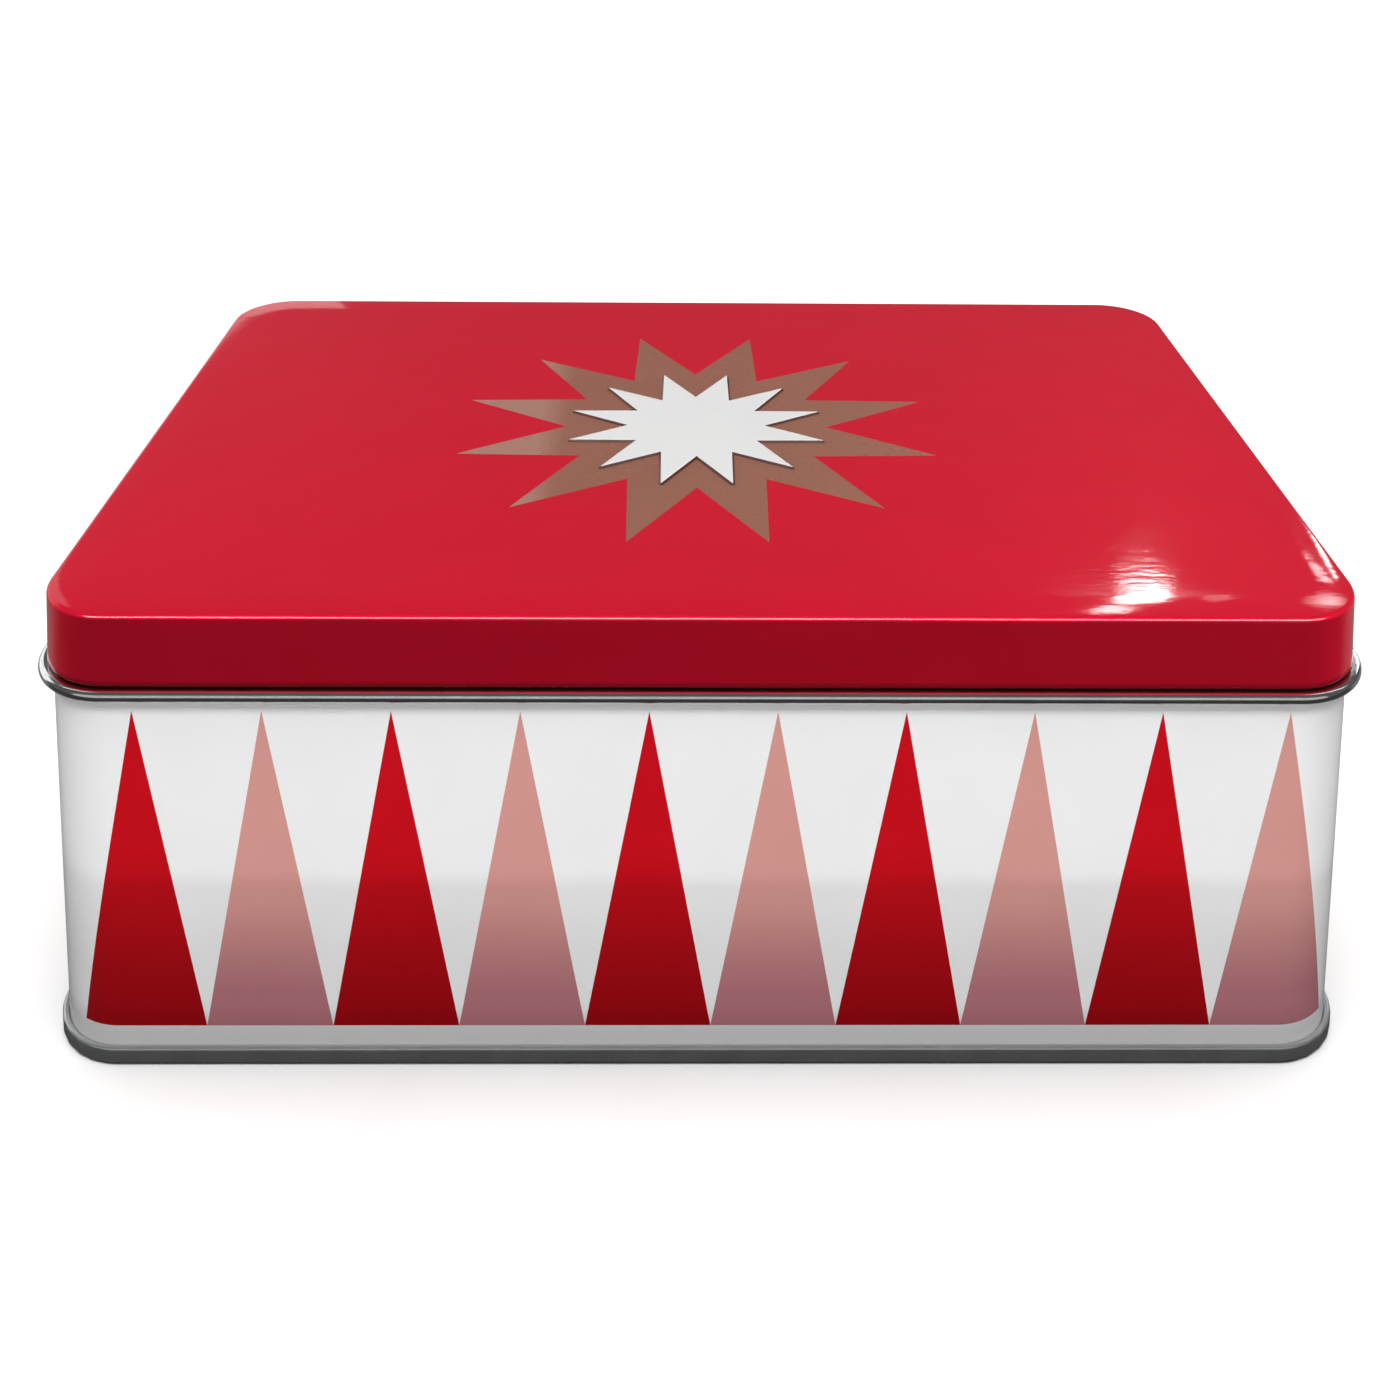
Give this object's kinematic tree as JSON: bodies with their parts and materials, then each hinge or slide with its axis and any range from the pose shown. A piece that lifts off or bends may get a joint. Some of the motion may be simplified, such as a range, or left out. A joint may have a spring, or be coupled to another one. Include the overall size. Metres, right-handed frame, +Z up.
{
  "type": "rectangular slip-lid tin",
  "caption": "Rectangular tinplate box with rounded corners, a rolled rim, a double-seamed recessed base and a lift-off slip lid with a raised star.",
  "frame": {"origin": "centre of the base, on the plane that the tin stands on", "axes": "+Z up, +X along the width, the front at -Y"},
  "size_m": [0.2044, 0.134, 0.0742],
  "materials": {
    "lid_lacquer": "gloss lacquer",
    "body_print": "gloss print over white base coat",
    "bright_tinplate": "bright rolled tinplate",
    "seamed_tinplate": "rubbed tinplate"
  },
  "bodies": {
    "tin": {"body_wall": "body_print", "neck_ring": "bright_tinplate", "bottom_panel": "seamed_tinplate"},
    "lid": {"lid": "lid_lacquer"}
  },
  "joints": [
    {"name": "lid_lift", "type": "slide", "parent": "tin", "child": "lid", "axis": [0, 0, 1], "range_m": [0, 0.05]}
  ]
}
